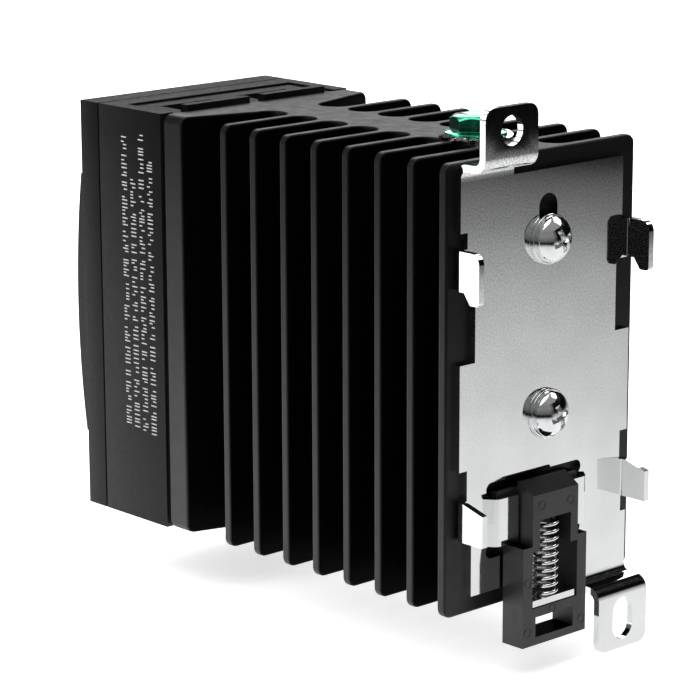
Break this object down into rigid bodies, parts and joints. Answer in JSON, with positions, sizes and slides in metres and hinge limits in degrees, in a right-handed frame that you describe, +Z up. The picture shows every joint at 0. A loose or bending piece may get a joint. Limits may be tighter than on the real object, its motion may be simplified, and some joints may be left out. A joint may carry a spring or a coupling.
{
  "type": "solid state relay",
  "caption": "Solid state relay on a finned black heatsink, with screw terminals and a sprung latch for a top-hat rail, or panel ears.",
  "frame": {"origin": "on the rail plate's outer face, at the rail's centre line, in the middle of the heatsink's width", "axes": "+Y from the relay's front to the rail, +Z up along the fins, +X across, to the left when the rail side is seen"},
  "size_m": [0.0452, 0.1056, 0.0982],
  "materials": {
    "black_anodised": "black anodised extrusion, satin",
    "green_plated": "green dyed plating, glossy",
    "bright_steel": "bright nickel-plated steel",
    "zinc_plate": "bright zinc-plated sheet, fine grain",
    "black_nylon": "moulded glass-filled nylon",
    "spring_steel": "bright spring wire",
    "grey_pad": "thermal interface pad",
    "copper": "bare copper",
    "ceramic": "alumina ceramic",
    "silicon": "silicon chip",
    "cage_steel": "zinc-plated steel cage",
    "black_case": "fine spark-eroded moulded plastic",
    "board_green": "solder mask",
    "gold_pins": "gold flash",
    "chip_black": "moulded epoxy",
    "capacitor_red": "epoxy-dipped film capacitor",
    "resistor_blue": "lacquered resistor body",
    "varistor_blue": "epoxy-coated disc",
    "led_green": "tinted epoxy",
    "clear_rod": "clear moulded rod",
    "marker_white": "light grey marking plate"
  },
  "bodies": {
    "relay": {"heatsink": "black_anodised", "ground_screw": "green_plated", "ground_washer": "bright_steel", "din_plate": "zinc_plate", "plate_screws": "bright_steel", "plate_washers": "bright_steel", "slider_spring": "spring_steel", "thermal_pad": "grey_pad", "base_plate": "copper", "base_screws": "bright_steel", "ceramic_substrate": "ceramic", "thyristor_dies": "silicon", "load_busbars": "copper", "housing": "black_case", "housing_screws": "bright_steel", "circuit_board": "board_green", "gate_pins": "gold_pins", "optocoupler": "chip_black", "snubber_capacitor": "capacitor_red", "snubber_resistor": "resistor_blue", "varistor": "varistor_blue", "status_led": "led_green", "light_pipe": "clear_rod", "control_contacts": "copper", "front_cover": "black_case", "marker_plate": "marker_white"},
    "latch": {"din_slider": "black_nylon"},
    "load_cage_left": {"load_cage_left": "cage_steel"},
    "load_screw_left": {"load_screw_left": "bright_steel"},
    "load_cage_right": {"load_cage_right": "cage_steel"},
    "load_screw_right": {"load_screw_right": "bright_steel"},
    "control_cage_left": {"control_cage_left": "cage_steel"},
    "control_screw_left": {"control_screw_left": "bright_steel"},
    "control_cage_right": {"control_cage_right": "cage_steel"},
    "control_screw_right": {"control_screw_right": "bright_steel"}
  },
  "joints": [
    {"name": "latch_slide", "type": "slide", "parent": "relay", "child": "latch", "axis": [0, 0, -1], "range_m": [0, 0.005], "stiffness_N_per_m": 1500, "springref_m": -0.004, "deforming": ["slider_spring"]},
    {"name": "load_cage_left_rise", "type": "slide", "parent": "relay", "child": "load_cage_left", "axis": [0, -1, 0], "range_m": [0, 0.005]},
    {"name": "load_screw_left_turn", "type": "hinge", "parent": "relay", "child": "load_screw_left", "pos_m": [-0.0092, -0.091, 0.03], "axis": [0, 1, 0], "range_deg": [0, 2575]},
    {"name": "load_cage_right_rise", "type": "slide", "parent": "relay", "child": "load_cage_right", "axis": [0, -1, 0], "range_m": [0, 0.005]},
    {"name": "load_screw_right_turn", "type": "hinge", "parent": "relay", "child": "load_screw_right", "pos_m": [0.0092, -0.091, 0.03], "axis": [0, 1, 0], "range_deg": [0, 2575]},
    {"name": "control_cage_left_rise", "type": "slide", "parent": "relay", "child": "control_cage_left", "axis": [0, -1, 0], "range_m": [0, 0.0034]},
    {"name": "control_screw_left_turn", "type": "hinge", "parent": "relay", "child": "control_screw_left", "pos_m": [-0.0092, -0.091, -0.03], "axis": [0, 1, 0], "range_deg": [0, 2452]},
    {"name": "control_cage_right_rise", "type": "slide", "parent": "relay", "child": "control_cage_right", "axis": [0, -1, 0], "range_m": [0, 0.0034]},
    {"name": "control_screw_right_turn", "type": "hinge", "parent": "relay", "child": "control_screw_right", "pos_m": [0.0092, -0.091, -0.03], "axis": [0, 1, 0], "range_deg": [0, 2452]}
  ],
  "couplings": [
    {"joint": "load_screw_left_turn", "follows": "load_cage_left_rise", "rad_per_m": 8976},
    {"joint": "load_screw_right_turn", "follows": "load_cage_right_rise", "rad_per_m": 8976},
    {"joint": "control_screw_left_turn", "follows": "control_cage_left_rise", "rad_per_m": 12566},
    {"joint": "control_screw_right_turn", "follows": "control_cage_right_rise", "rad_per_m": 12566}
  ]
}
